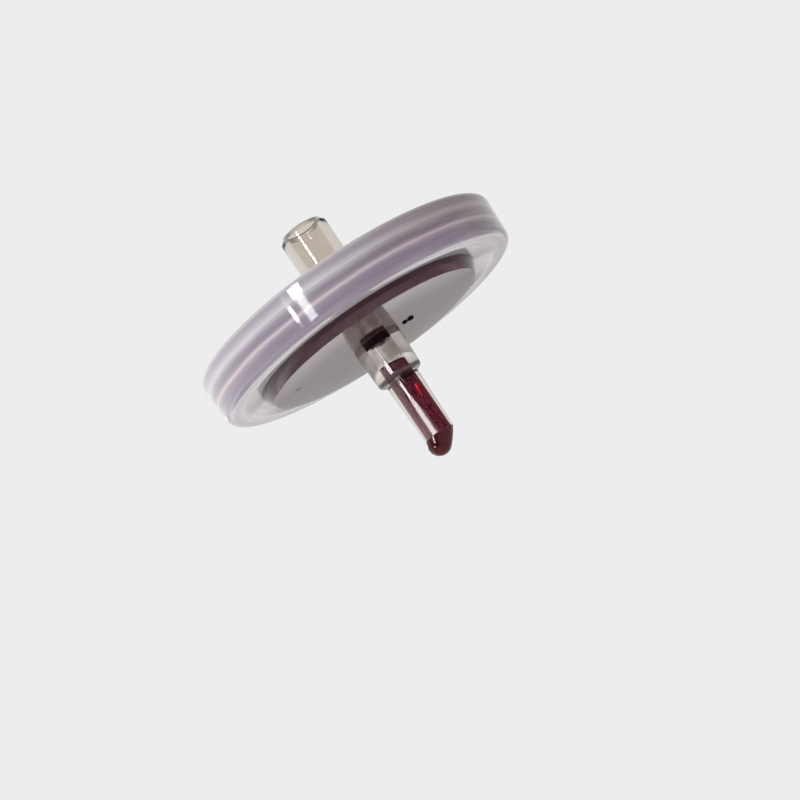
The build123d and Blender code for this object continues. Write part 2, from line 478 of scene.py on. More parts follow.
AIR, WET, WELD, FILM, MATT = 0, 1, 1, 3, 4  # the ribs have number 2
socket_floor_radius = socket_mouth_radius - taper / 2 * (mouth - socket_floor)
socket_lead_in = 0.15
inlet_housing = turned("inlet_housing_clear", [
    (chamber_radius + SEAM, sheet_top, 0, WELD),
    (flange_radius, sheet_top, 0, WELD),
    (flange_radius, sheet_top + flange_thickness, 0, WELD),
    (window_radius, sheet_top + flange_thickness, 0, WELD),
    (window_radius, ring_top, 0, AIR),
    (plateau_radius, inlet_face, 0.25, AIR),
    (hub_radius, inlet_face, 0.35, AIR),
    (hub_radius, mouth - hub_chamfer[1], 0.15, AIR),
    (hub_radius - hub_chamfer[0], mouth, 0.08, AIR),
    (socket_mouth_radius + socket_lead_in, mouth, 0.05, AIR),
    (socket_mouth_radius, mouth - socket_lead_in, 0.1, AIR),
    (socket_floor_radius, socket_floor, 0.15, AIR),
    (bore_radius + SEAM, socket_floor, 0.05, WET),
    (bore_radius + SEAM, inlet_ceiling + SEAM, 0.1, WET),
    (chamber_radius + SEAM, inlet_ceiling + SEAM, 0, WET),
])
give(inlet_housing, clear_acrylic, wet_or_welded, rib_on_membrane)
print("inlet housing:", len(inlet_housing.data.polygons), "faces")

# %% [markdown]
# ## The outlet housing
#
# The other half has a plate that stands proud of the ring, a stout collar and the outlet's tip. The
# tip is the male twin of the hub's socket: it grows by 6 % of its length. A narrow bore runs
# through tip and collar, and it opens into a shallow well at the middle of the chamber. An air
# bubble sits in the bore below the plate, so the bore is wet, dry and wet again. The upper half
# millimetre of the bubble's wall is clean, and below it lies the film. The matt finish covers the
# collar's rounded end and reaches half a millimetre up its wall.

# %% Turn the outlet housing
clean_wall = 0.5
matt_wall_out, matt_wall_up = 0.021, 0.54
outlet_housing = turned("outlet_housing_clear", [
    (flange_radius, sheet_bottom, 0, WELD),
    (chamber_radius + SEAM, sheet_bottom, 0, WET),
    (chamber_radius + SEAM, outlet_floor - SEAM, 0, WET),
    (well_radius + SEAM, outlet_floor - SEAM, 0, WET),
    (bore_radius + SEAM, outlet_floor - well_depth - SEAM, 0, WET),
    (bore_radius + SEAM, bubble_top, 0, AIR),
    (bore_radius + SEAM, bubble_top - clean_wall, 0, FILM),
    (bore_radius + SEAM, bubble_bottom, 0, WET),
    (bore_radius + SEAM, tip_end, 0, WET),
    (tip_end_radius - 0.05, tip_end, 0, AIR),
    (tip_end_radius, tip_end + 0.05, 0, AIR),
    (tip_root_radius, collar_end, 0.06, MATT),
    (collar_end_radius, collar_end, 0.5, MATT),
    (collar_end_radius + matt_wall_out, collar_end + matt_wall_up, 0, AIR),
    (collar_base_radius, outlet_face, 0.10, AIR),
    (plateau_radius, outlet_face, 0.15, AIR),
    (window_radius, ring_bottom + lip_dish, 0, WELD),
    (window_radius, sheet_bottom - flange_thickness, 0, WELD),
    (flange_radius, sheet_bottom - flange_thickness, 0, WELD),
])
give(
    outlet_housing, clear_acrylic, wet_or_welded, rib_on_membrane, filmed_acrylic, matt_acrylic
)
print("outlet housing:", len(outlet_housing.data.polygons), "faces")

# %% [markdown]
# ## Ribs under the membrane
#
# A membrane is as thin as paper and would bulge, so the outlet housing carries it on a star of
# ribs. They are alike and evenly spaced about the axis, which is just what Geometry Nodes are for:
# one bar is made, moved out to its radius, and then copied round a circle. The same tree makes the
# long ribs, the short ones and the low spokes of the inlet side, from nothing but its inputs.

# %% A Geometry Nodes tree for bars round an axis
ribs_tree = bpy.data.node_groups.new("bars_round_an_axis", "GeometryNodeTree")
ribs_tree.is_modifier = True
sockets = {}
for name, kind, value in (
    ("Count", "NodeSocketInt", 10), ("Start", "NodeSocketFloat", 0.003),
    ("End", "NodeSocketFloat", 0.013), ("Width", "NodeSocketFloat", 0.0007),
    ("Bottom", "NodeSocketFloat", -0.0157), ("Top", "NodeSocketFloat", -0.0135),
    ("Material", "NodeSocketMaterial", None),
):
    item = ribs_tree.interface.new_socket(name=name, in_out="INPUT", socket_type=kind)
    if value is not None:
        item.default_value = value
    sockets[name] = item.identifier
ribs_tree.interface.new_socket(name="Geometry", in_out="OUTPUT", socket_type="NodeSocketGeometry")
given = add_node(ribs_tree, "NodeGroupInput").outputs

spans, middles = {}, {}  # the bar's length and height, and where their middles lie
for axis, low, high in (("X", "Start", "End"), ("Z", "Bottom", "Top")):
    spans[axis] = add_node(
        ribs_tree, "ShaderNodeMath", {}, {0: given[high], 1: given[low]}, operation="SUBTRACT"
    )
    both = add_node(
        ribs_tree, "ShaderNodeMath", {}, {0: given[low], 1: given[high]}, operation="ADD"
    )
    middles[axis] = add_node(
        ribs_tree, "ShaderNodeMath", {1: 0.5}, {0: both.outputs[0]}, operation="MULTIPLY"
    )
size = add_node(ribs_tree, "ShaderNodeCombineXYZ", {}, {
    "X": spans["X"].outputs[0], "Y": given["Width"], "Z": spans["Z"].outputs[0],
})
middle = add_node(ribs_tree, "ShaderNodeCombineXYZ", {}, {
    "X": middles["X"].outputs[0], "Z": middles["Z"].outputs[0],
})
bar = add_node(ribs_tree, "GeometryNodeMeshCube", {}, {"Size": size.outputs[0]})
moved = add_node(ribs_tree, "GeometryNodeTransform", {}, {
    "Geometry": bar.outputs[0], "Translation": middle.outputs[0],
})
print("one bar takes", len(ribs_tree.nodes), "nodes")

# %% Copy the bar round the axis
spots = add_node(
    ribs_tree, "GeometryNodeMeshLine", {"Offset": (0, 0, 0)}, {"Count": given["Count"]}
)
number = add_node(ribs_tree, "GeometryNodeInputIndex")
step = add_node(
    ribs_tree, "ShaderNodeMath", {0: 2 * math.pi}, {1: given["Count"]}, operation="DIVIDE"
)
angle = add_node(
    ribs_tree, "ShaderNodeMath", {}, {0: number.outputs[0], 1: step.outputs[0]},
    operation="MULTIPLY",
)
turn = add_node(ribs_tree, "ShaderNodeCombineXYZ", {}, {"Z": angle.outputs[0]})
star = add_node(ribs_tree, "GeometryNodeInstanceOnPoints", {}, {
    "Points": spots.outputs[0], "Instance": moved.outputs[0], "Rotation": turn.outputs[0],
})
real = add_node(ribs_tree, "GeometryNodeRealizeInstances", {}, {0: star.outputs[0]})
dressed = add_node(ribs_tree, "GeometryNodeSetMaterial", {}, {
    "Geometry": real.outputs[0], "Material": given["Material"],
})
add_node(ribs_tree, "NodeGroupOutput", {}, {0: dressed.outputs[0]})
print("the tree has", len(ribs_tree.nodes), "nodes")


# %% Run the tree and keep its result as a plain mesh
def bars(count, start, end, bottom, top, material):
    """Evenly spaced bars as a plain mesh. Radii and levels are in mm."""
    carrier = bpy.data.objects.new("carrier", bpy.data.meshes.new("carrier"))
    bpy.context.scene.collection.objects.link(carrier)
    modifier = carrier.modifiers.new("bars", "NODES")
    modifier.node_group = ribs_tree
    for name, value in {
        "Count": count, "Start": start * MM, "End": end * MM,
        "Width": (rib_width - 2 * SEAM) * MM, "Bottom": bottom * MM, "Top": top * MM,
        "Material": material,
    }.items():
        modifier[sockets[name]] = value
    bpy.context.view_layer.update()
    evaluated = carrier.evaluated_get(bpy.context.evaluated_depsgraph_get())
    mesh = bpy.data.meshes.new_from_object(evaluated)
    bpy.data.objects.remove(carrier)
    return mesh


print("the tree's inputs:", ", ".join(sockets))

# %% Ribs below the membrane, and spokes above it
def joined(piece, *meshes):
    """Adds plain meshes to a piece. Their faces take the piece's slot with the same material."""
    bm = bmesh.new()
    bm.from_mesh(piece.data)
    for mesh in meshes:
        first = len(bm.faces)
        bm.from_mesh(mesh)
        bm.faces.ensure_lookup_table()
        slot = piece.data.materials.find([m for m in mesh.materials if m][0].name)
        for face in bm.faces[first:]:
            face.material_index = slot
    bm.to_mesh(piece.data)
    bm.free()


channel_start, channel_end = 6.3, 7.3  # a circular channel breaks the long ribs
rib_start, rib_end = well_radius + 1.1, chamber_radius - 1.2
spoke_start, spoke_end, spoke_depth = 4.0, chamber_radius - 1.6, 1.2
spoke_levels = (inlet_ceiling - spoke_depth + SEAM, inlet_ceiling)
joined(
    outlet_housing,
    bars(10, rib_start, channel_start, outlet_floor, sheet_bottom, rib_on_membrane),
    bars(20, channel_end, rib_end, outlet_floor, sheet_bottom, rib_on_membrane),
)
joined(inlet_housing, bars(10, spoke_start, spoke_end, *spoke_levels, rib_on_membrane))
print("outlet housing with ribs:", len(outlet_housing.data.polygons), "faces")

# %% [markdown]
# ## The milky ring
#
# The ring is moulded round both flanges in a second shot, from an unpigmented plastic that is clear
# at its skin and cloudy inside, as a thick polypropylene part is. So it is a mixture. Most light
# scatters back pale and faintly lilac, and some passes through. The dark chambers behind it show as
# soft bands, with the membrane's edge as a paler line between them; these are painted into the
# colour, over the little that the plastic really lets through. Over both lies a sharp gloss.
#
# The colour is built up in four steps. The painted bands come first, as a ramp along the axis. Then
# painted shade darkens the side away from the window's light, the upper bands most, and a stripe near
# that end more. The lip of the outlet face gets colours of its own: painted dark inside, where the
# chamber shows through, and painted shade on the same side. At last faint streaks show how the
# plastic flowed.

# %% Milky polypropylene: painted bands where the dark chambers show through
milky_plastic, tree, output = new_material("milky_polypropylene_moulded")
waviness = moulded_waviness(tree, wave_mm=6.0, depth_mm=0.002)
where = add_node(tree, "ShaderNodeTexCoord")
split = add_node(tree, "ShaderNodeSeparateXYZ", {}, {0: where.outputs["Object"]})
flattened = add_node(
    tree, "ShaderNodeMapping", {"Scale": (1, 1, 6)}, {"Vector": where.outputs["Object"]}
)
flow = add_node(
    tree, "ShaderNodeTexNoise", {"Scale": 1 / (9.0 * MM), "Detail": 3.0},
    {"Vector": flattened.outputs[0]},
)
band_wander = 0.09  # mm by which the bands stray up and down, as the plastic's cloudiness does
wander = add_node(
    tree, "ShaderNodeMapRange",
    {"From Min": 0.3, "From Max": 0.7, "To Min": -band_wander * MM, "To Max": band_wander * MM},
    {"Value": flow.outputs["Fac"]},
)
level = add_node(
    tree, "ShaderNodeMath", {}, {0: split.outputs["Z"], 1: wander.outputs["Result"]},
    operation="ADD",
)
height = add_node(
    tree, "ShaderNodeMapRange", {"From Min": ring_bottom * MM, "From Max": ring_top * MM},
    {"Value": level.outputs[0]},
)
bands = add_node(tree, "ShaderNodeValToRGB", {}, {"Fac": height.outputs["Result"]})
bands.color_ramp.interpolation = "EASE"
# The stops paint what shows through the ring: darker bands where the dark chambers lie behind it, and
# a pale line at the membrane's edge.
put_stops(bands, [
    (ring_bottom, "b1a1b2"), (-15.4, "b5a9ba"), (-14.7, "aca0b3"), (-14.2, "b4a9bb"),
    (-13.9, "ccc0cc"), (-13.72, "f6e4ec"), (-13.56, "f6e4ec"), (-13.3, "c4b6c4"),
    (-13.0, "b2a6b6"), (-12.6, "bcb1c0"), (-12.2, "dad4de"), (-11.85, "f9f5f9"),
    (-11.55, "e9e5ee"), (-11.15, "d3ccd7"), (-10.75, "cbc3d0"), (-10.4, "dbd5de"),
    (ring_top, "e4e2e4"),
], ring_bottom, ring_top)
print("made", milky_plastic.name, "with", len(bands.color_ramp.elements), "bands")

# %% Painted shade on the side away from the window's light, darkest in a stripe near that end
away_from_light = add_node(
    tree, "ShaderNodeMapRange", {"From Min": -4.0 * MM, "From Max": 19.0 * MM},
    {"Value": split.outputs["X"]}, interpolation_type="SMOOTHSTEP",
)
upper_half = add_node(
    tree, "ShaderNodeMapRange", {"From Min": -13.9 * MM, "From Max": -12.3 * MM, "To Min": 0.35},
    {"Value": split.outputs["Z"]},
)
side_shade = add_node(tree, "ShaderNodeMath", {}, {
    0: away_from_light.outputs["Result"], 1: upper_half.outputs["Result"],
}, operation="MULTIPLY")

right_shade_at = 18.0  # mm along X, on the side away from the light, where painted shade darkens a stripe
from_shade_stripe = add_node(
    tree, "ShaderNodeMath", {1: right_shade_at * MM}, {0: split.outputs["X"]}, operation="SUBTRACT"
)
shade_stripe_distance = add_node(
    tree, "ShaderNodeMath", {}, {0: from_shade_stripe.outputs[0]}, operation="ABSOLUTE"
)
shade_stripe = add_node(
    tree, "ShaderNodeMapRange",
    {"From Min": 0.8 * MM, "From Max": 3.0 * MM, "To Min": 0.70, "To Max": 0.0},
    {"Value": shade_stripe_distance.outputs[0]}, interpolation_type="SMOOTHSTEP",
)
painted_shade_share = add_node(
    tree, "ShaderNodeMath", {}, {0: side_shade.outputs[0], 1: shade_stripe.outputs["Result"]},
    operation="MAXIMUM",
)
# Painted shade: the upper bands darken towards the +X side, away from the window's light, and most in
# a stripe 18 mm out along X.
shaded_bands = add_node(
    tree, "ShaderNodeMix", {COLOUR_B: linear("ccc2c0")},
    {"Factor": painted_shade_share.outputs[0], COLOUR_A: bands.outputs[0]},
    data_type="RGBA", blend_type="MULTIPLY",
)
print("the painted shade stripe lies at X =", right_shade_at, "mm")

# %% The lip of the outlet face: painted dark inside where the chamber shows through, pale outside
# The plastic thins out over the flange towards the window, so the dark chamber shows through more;
# that darkening is painted into the lip's colour.
lip_end = 19.2  # mm from the axis, where the lip has the ring's own pale colour
from_axis = distance_from_axis(tree, where)
across_lip = add_node(
    tree, "ShaderNodeMapRange", {"From Min": window_radius * MM, "From Max": lip_end * MM},
    {"Value": from_axis},
)
lip = add_node(tree, "ShaderNodeValToRGB", {}, {"Fac": across_lip.outputs["Result"]})
lip.color_ramp.interpolation = "EASE"
put_stops(lip, [(0.0, "876b76"), (0.5, "9c8d96"), (1.0, "dcdadc")])
# Painted shade: the lip darkens towards the +X side, away from the window's light.
lip_shade_share = add_node(
    tree, "ShaderNodeMapRange", {"From Max": right_shade_at * MM}, {"Value": split.outputs["X"]}
)
shaded_lip = add_node(
    tree, "ShaderNodeMix", {COLOUR_B: linear("e4e1e2")},
    {"Factor": lip_shade_share.outputs["Result"], COLOUR_A: lip.outputs[0]},
    data_type="RGBA", blend_type="MULTIPLY",
)
underside = add_node(  # 1 on the faces towards the window, 0 on the outer wall
    tree, "ShaderNodeMapRange",
    {"From Min": 18.2 * MM, "From Max": 19.4 * MM, "To Min": 1.0, "To Max": 0.0},
    {"Value": from_axis}, interpolation_type="SMOOTHSTEP",
)
shell = add_node(tree, "ShaderNodeMix", {}, {
    "Factor": underside.outputs["Result"], COLOUR_A: shaded_bands.outputs[MIXED],
    COLOUR_B: shaded_lip.outputs[MIXED],
}, data_type="RGBA")
print("the lip is coloured from", window_radius, "to", lip_end, "mm")

# %% Streaks along the flow, and the plastic itself
drawn_out = add_node(
    tree, "ShaderNodeMapping", {"Scale": (1, 1, 14)}, {"Vector": where.outputs["Object"]}
)
streaks = add_node(  # 7 mm long and half a millimetre high
    tree, "ShaderNodeTexNoise", {"Scale": 1 / (7.0 * MM), "Detail": 4.0},
    {"Vector": drawn_out.outputs[0]},
)
streak_share = add_node(
    tree, "ShaderNodeMapRange", {"From Min": 0.40, "From Max": 0.75, "To Max": 0.26},
    {"Value": streaks.outputs["Fac"]},
)
streaked = add_node(
    tree, "ShaderNodeMix", {COLOUR_B: linear("d8d6d6")},
    {"Factor": streak_share.outputs["Result"], COLOUR_A: shell.outputs[MIXED]}, data_type="RGBA",
)
shader = add_node(
    tree, "ShaderNodeBsdfPrincipled",
    {
        "Roughness": 0.10, "IOR": 1.49, "Specular IOR Level": 0.15, "Transmission Weight": 0.25,
        "Coat Weight": 0.8, "Coat Roughness": 0.01, "Coat IOR": 1.49,
        "Subsurface Weight": 0.6, "Subsurface Scale": 0.0006,
        "Subsurface Radius": (1.0, 0.95, 1.0), "Sheen Weight": 0.40, "Sheen Roughness": 0.30,
    },
    {"Base Color": streaked.outputs[MIXED], "Normal": waviness.outputs["Normal"]},
)
tree.links.new(shader.outputs[0], output.inputs["Surface"])
print(milky_plastic.name, "has", len(tree.nodes), "nodes")

# %% Turn the ring
wall_slope = math.tan(math.radians(ring_draft))


def wall(level):
    """The radius of the ring's outer wall at a level."""
    return ring_radius - (ring_top - level) * wall_slope


sealing_ring = turned("sealing_ring_milky", [
    (window_radius, ring_top, 0, AIR),
    (wall(ring_top), ring_top, 0.6, AIR),
    (wall(ring_bottom), ring_bottom, 0.77, AIR),
    (window_radius + lip_width, ring_bottom, 2.0, AIR),
    (window_radius, ring_bottom + lip_dish, 0, WELD),
    (window_radius, sheet_bottom - flange_thickness, 0, WELD),
    (flange_radius, sheet_bottom - flange_thickness, 0, WELD),
    (flange_radius, sheet_top + flange_thickness, 0, WELD),
    (window_radius, sheet_top + flange_thickness, 0, WELD),
], steps=256)
give(sealing_ring, milky_plastic, wet_or_welded)
print("ring:", len(sealing_ring.data.polygons), "faces")

# %% [markdown]
# ## The membrane
#
# The membrane is a wet sheet of nylon or cellulose, white when it is dry and faintly pink here. It
# shows through the ring as a pale line. Its CAD disc has the right shape, so it keeps its mesh and
# gets a fibrous, matt material.

# %% Wet membrane
membrane_cloth, tree, output = new_material("membrane_nylon_wet")
# Real fibres are about 0.001 mm thick. They are drawn as spots of 0.25 mm, so that they show.
fibres, tint = mottled(tree, 0.25, "d8bcc4", "f0dfe2", detail=4.0)
bump = add_node(
    tree, "ShaderNodeBump", {"Strength": 0.4, "Distance": 0.02 * MM}, {"Height": fibres}
)
shader = add_node(
    tree, "ShaderNodeBsdfPrincipled", {"Roughness": 0.7, "IOR": 1.4},
    {"Base Color": tint, "Normal": bump.outputs["Normal"]},
)
tree.links.new(shader.outputs[0], output.inputs["Surface"])
give(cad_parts["membrane"], membrane_cloth)
print("made", membrane_cloth.name)

# %% [markdown]
# ## The dark red liquid
#
# In the chambers the liquid is so deep in colour that it looks like a solid dark surface behind the
# plastic, so an opaque dark red with hardly any gloss of its own is enough: the gloss belongs to
# the plastic in front of it. It is painted darker in the bore under the collar and round the
# collar's base, as painted shade.
#
# In the thin bore of the tip, light gets through. There the liquid is a true clear body that
# swallows light on its way, green first, then blue, then red. Its free surfaces, at the drop and at
# the bubble, are glossy. Where it wets the bore there is no gloss, but the liquid is turbid and
# grainy, so this side is half a clear face and half a cloudy one.

# %% Deep liquid in the chambers
deep_liquid, tree, output = new_material("dark_red_liquid_deep")
where = add_node(tree, "ShaderNodeTexCoord")
cloudy_red = mottled(tree, 5.0, "6a4250", "7c5260")[1]
split = add_node(tree, "ShaderNodeSeparateXYZ", {}, {0: where.outputs["Object"]})
well_end = outlet_floor - well_depth
# Painted shade: the liquid darkens in the bore under the collar and round the collar's base.
in_collar = add_node(
    tree, "ShaderNodeMapRange",
    {"From Min": (well_end - 0.1) * MM, "From Max": (well_end + 0.2) * MM,
     "To Min": 1.0, "To Max": 0.0},
    {"Value": split.outputs["Z"]},
)
near_well = add_node(
    tree, "ShaderNodeMapRange",
    {"From Min": 3.4 * MM, "From Max": 5.2 * MM, "To Min": 0.55, "To Max": 0.0},
    {"Value": distance_from_axis(tree, where)}, interpolation_type="SMOOTHSTEP",
)
collar_shade_share = add_node(tree, "ShaderNodeMath", {}, {
    0: in_collar.outputs["Result"], 1: near_well.outputs["Result"],
}, operation="MAXIMUM")
collar_shaded_red = add_node(
    tree, "ShaderNodeMix", {COLOUR_B: linear("26060f")},
    {"Factor": collar_shade_share.outputs[0], COLOUR_A: cloudy_red}, data_type="RGBA",
)
shader = add_node(
    tree, "ShaderNodeBsdfPrincipled", {"Roughness": 0.25, "IOR": 1.10},
    {"Base Color": collar_shaded_red.outputs[MIXED]},
)
tree.links.new(shader.outputs[0], output.inputs["Surface"])
give(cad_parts["upstream_liquid"], deep_liquid)
give(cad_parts["downstream_liquid"], deep_liquid)
print("made", deep_liquid.name)

# %% Clear liquid: its free surfaces, and where it touches the bore
clear_liquid, tree, output = new_material("dark_red_liquid_clear")
where = add_node(tree, "ShaderNodeTexCoord")
split = add_node(tree, "ShaderNodeSeparateXYZ", {}, {0: where.outputs["Object"]})
clear_surface = add_node(
    tree, "ShaderNodeBsdfPrincipled",
    {"Base Color": linear("fff0f0"), "Roughness": 0.0, "IOR": 1.36, "Transmission Weight": 1.0},
)
wine_surface = add_node(
    tree, "ShaderNodeBsdfPrincipled",
    {"Base Color": linear("6e0a1e"), "Roughness": 0.0, "IOR": 1.36},
)
free_surface = add_node(
    tree, "ShaderNodeMixShader", {0: 0.5},
    {1: clear_surface.outputs[0], 2: wine_surface.outputs[0]},
)
meniscus_depth = 0.45  # mm below the bubble's end that the liquid's curved top takes up
in_bore = add_node(
    tree, "ShaderNodeMath", {1: (tip_end + 0.001) * MM}, {0: split.outputs["Z"]},
    operation="GREATER_THAN",
)
below_meniscus = add_node(
    tree, "ShaderNodeMath", {1: (bubble_bottom - meniscus_depth) * MM}, {0: split.outputs["Z"]},
    operation="LESS_THAN",
)
at_wall = add_node(
    tree, "ShaderNodeMath", {}, {0: in_bore.outputs[0], 1: below_meniscus.outputs[0]},
    operation="MULTIPLY",
)
print("started", clear_liquid.name)

# %% Grains in the liquid, with painted shade at the tip's root and painted light in the collar
# Real grains are a few hundredths of a millimetre. They are drawn at 0.25 mm, so that they show.
grain_noise, slug_colour = mottled(tree, 0.25, "94506f", "b87394")
grains = add_node(
    tree, "ShaderNodeMapRange", {"From Min": 0.35, "From Max": 0.65}, {"Value": grain_noise}
)
grain_colour = add_node(
    tree, "ShaderNodeMix", {COLOUR_A: linear("541229"), COLOUR_B: linear("c04e6e")},
    {"Factor": grains.outputs["Result"]}, data_type="RGBA",
)
along_root = add_node(  # the tip's root, where less light comes in beside the collar's end
    tree, "ShaderNodeMapRange",
    {"From Min": (collar_end - 1.2) * MM, "From Max": (collar_end + 1.0) * MM},
    {"Value": split.outputs["Z"]},
)
shade = add_node(tree, "ShaderNodeValToRGB", {}, {"Fac": along_root.outputs["Result"]})
put_stops(shade, [
    (0.0, "ffffff"), (0.16, "ffffff"), (0.34, "5a4a4c"), (0.50, "b0a8b0"), (1.0, "b4b0c4"),
])
shaded = add_node(
    tree, "ShaderNodeMix", {"Factor": 1.0},
    {COLOUR_A: grain_colour.outputs[MIXED], COLOUR_B: shade.outputs[0]},
    data_type="RGBA", blend_type="MULTIPLY",
)
in_collar = add_node(  # the collar's thick wall gathers light, so the liquid looks paler there
    tree, "ShaderNodeMapRange",
    {"From Min": (collar_end + 0.1) * MM, "From Max": (collar_end + 0.6) * MM},
    {"Value": split.outputs["Z"]},
)
cloud_colour = add_node(tree, "ShaderNodeMix", {}, {
    "Factor": in_collar.outputs["Result"], COLOUR_A: shaded.outputs[MIXED],
    COLOUR_B: slug_colour,
}, data_type="RGBA")
print("grains drawn 0.25 mm wide")

# %% Put the clear liquid together
cloudy = add_node(tree, "ShaderNodeBsdfDiffuse", {}, {"Color": cloud_colour.outputs[MIXED]})
through = add_node(tree, "ShaderNodeBsdfTransparent", {"Color": linear("ffffff")})
wetted_side = add_node(
    tree, "ShaderNodeMixShader", {0: 0.55}, {1: through.outputs[0], 2: cloudy.outputs[0]}
)
whole_surface = add_node(tree, "ShaderNodeMixShader", {}, {
    0: at_wall.outputs[0], 1: free_surface.outputs[0], 2: wetted_side.outputs[0],
})
swallowed = add_node(
    tree, "ShaderNodeVolumeAbsorption", {"Color": linear("d43069"), "Density": 3500.0}
)
tree.links.new(whole_surface.outputs[0], output.inputs["Surface"])
tree.links.new(swallowed.outputs[0], output.inputs["Volume"])
print("made", clear_liquid.name, "with", len(tree.nodes), "nodes")

# %% [markdown]
# ## The hanging drop
#
# The drop wets the whole end of the tip and hangs to one side, because the filter is held at a
# slant. It is a ball with straight flanks that run up to the tip's edge. Circles are strung on a
# bent line from the bubble down: up the bore, over the tip's end, down the flanks, and then ever
# smaller ones round the ball to its pole.

# %% The ball of the drop, and where its flanks touch it
ball_radius, sag = 1.52, 0.70
edge_radius = tip_end_radius - 0.05
ball = Vector((-sag, 0, drop_low.z + ball_radius))


def touch(edge_x, side):
    """Where a line from the tip's edge at edge_x touches the ball, in the plane of its lean."""
    edge = Vector((edge_x, 0, tip_end))
    reach = ball - edge
    turn = side * math.asin(ball_radius / reach.length)
    line = Matrix.Rotation(-turn, 3, "Y") @ reach.normalized()
    return edge + line * math.sqrt(reach.length**2 - ball_radius**2)


left_touch, right_touch = touch(-edge_radius, -1), touch(edge_radius, 1)
seam_centre, seam_radius = (left_touch + right_touch) / 2, (right_touch - left_touch).length / 2
across = (right_touch - left_touch).normalized()
pole = across.cross(Vector((0, 1, 0)))
if pole.z > 0:
    pole = -pole
print("the flanks meet the ball on a circle of", round(seam_radius, 2), "mm")

# %% String circles into the liquid column and the drop
circles = []  # (centre, radius, direction of the circle's own x)
level_x, tip_middle = Vector((1, 0, 0)), Vector((0, 0, tip_end - SEAM))
leaning = Vector((1, 0, -0.13))  # the filter is held at a slant, and the liquid's top isn't
liquid_radius = bore_radius - SEAM
wall_level = bubble_bottom - 0.15  # where the liquid meets the bore's wall
hollow = 0.2  # how far the middle of its top lies below that, as it creeps up the wall
for k in range(1, 9):
    share = k / 8
    level = wall_level - hollow * (1 - share**2)
    circles.append((Vector((0, 0, level)), liquid_radius * share, leaning))
for k in range(1, 13):
    level = wall_level + (tip_middle.z - wall_level) * k / 12
    circles.append((Vector((0, 0, level)), liquid_radius, leaning.lerp(level_x, min(1, k / 2))))
circles.append((tip_middle, edge_radius, level_x))
for k in range(1, 9):
    share = k / 8
    way = level_x.lerp(across, share).normalized()
    spread = edge_radius + (seam_radius - edge_radius) * share
    circles.append((tip_middle.lerp(seam_centre, share), spread, way))
start_angle = math.asin((seam_centre - ball).dot(pole) / ball_radius)
for k in range(1, 20):
    latitude = start_angle + (math.pi / 2 - start_angle) * k / 20
    middle = ball + pole * ball_radius * math.sin(latitude)
    circles.append((middle, ball_radius * math.cos(latitude), across))
print(len(circles), "circles")

# %% Skin the circles
bm = bmesh.new()
STEPS = 96
strung = []
for centre, radius, way in circles:
    strung.append([
        bm.verts.new((centre + (way * math.cos(a) + Vector((0, 1, 0)) * math.sin(a)) * radius) * MM)
        for a in (2 * math.pi * i / STEPS for i in range(STEPS))
    ])
top_pole = [bm.verts.new(Vector((0, 0, wall_level - hollow)) * MM)]
drop_pole = [bm.verts.new((ball + pole * ball_radius) * MM)]
strung = [top_pole, *strung, drop_pole]
for here, there in zip(strung, strung[1:]):
    belt(bm, here, there)
bmesh.ops.recalc_face_normals(bm, faces=bm.faces)
outlet_liquid = finished("outlet_liquid_clear", bm, smooth=50)
give(outlet_liquid, clear_liquid)
print("outlet liquid:", len(outlet_liquid.data.polygons), "faces, box",
      [round(v / MM, 2) for v in outlet_liquid.dimensions])

# %% [markdown]
# ## The liquid's end above the bubble
#
# Above the air bubble the bore is full again, and the liquid ends there in a surface that sags a
# little. The CAD column has a plain flat end, so a thin sleeve of the same liquid is slipped over
# it, round and smooth, with the sagging end.

# %% Turn the column's end
sleeve_radius = bore_radius + 0.5 * SEAM
column_end = turned("liquid_column_end", [
    (0, bubble_top - 0.16, 0, 0),
    (0.45, bubble_top - 0.145, 0, 0),
    (0.85, bubble_top - 0.09, 0, 0),
    (sleeve_radius, bubble_top, 0, 0),
    (sleeve_radius, well_end, 0, 0),
    (0, well_end, 0, 0),
], steps=96, smooth=60)
give(column_end, deep_liquid)
print("column's end:", len(column_end.data.polygons), "faces")

# %% [markdown]
# ## Marks of use
#
# Two beads of the liquid hang under the outlet plate beside the collar. A short hair and a speck of
# dust cling to the plastic. They are as small as they sound, but clean plastic looks too clean. All
# of them are small balls, strung from circles like the drop, because Blender's own UV sphere hands
# its faces out in a different order each time, and this file gives the same mesh on each run.

# %% Beads, a hair and a speck
def balls(name, *places):
    """A piece of small balls. Each place gives a ball's middle (x, y, level) and its size in x, y
    and z, all in mm."""
    bm = bmesh.new()
    for x, y, level, *size in places:
        middle, half = Vector((x, y, level)), Vector(size) / 2
        rings = []
        for i in range(13):
            down = math.pi * i / 12
            rings.append([
                bm.verts.new((middle + half * Vector(
                    (math.sin(down) * math.cos(a), math.sin(down) * math.sin(a), math.cos(down))
                )) * MM)
                for a in (math.pi * k / 12 for k in range(24 if 0 < i < 12 else 1))
            ])
        for here, there in zip(rings, rings[1:]):
            belt(bm, here, there)
    bmesh.ops.recalc_face_normals(bm, faces=bm.faces)
    return finished(name, bm, smooth=80)


splashes = balls(
    "liquid_beads",
    (4.20, 0.80, outlet_face - 0.07, 0.76, 0.66, 0.34),
    (5.02, 0.80, outlet_face - 0.08, 0.92, 0.82, 0.40),
)
give(splashes, deep_liquid)
hair_level = outlet_face - 0.02
hair = [
    (-11.5 + 0.55 * a, -2.0 + 0.5 * math.sin(2.6 * a), hair_level, 0.12, 0.10, 0.06)
    for a in (k / 8 for k in range(9))
]
dust = balls("hair_and_dust", *hair, (-17.4, 6.05, ring_bottom + 0.06, 0.20, 0.20, 0.10))
print("beads and dust:", len(splashes.data.polygons) + len(dust.data.polygons), "faces")

# %% Grey dust
grey_dust, tree, output = new_material("grey_lint_matt")
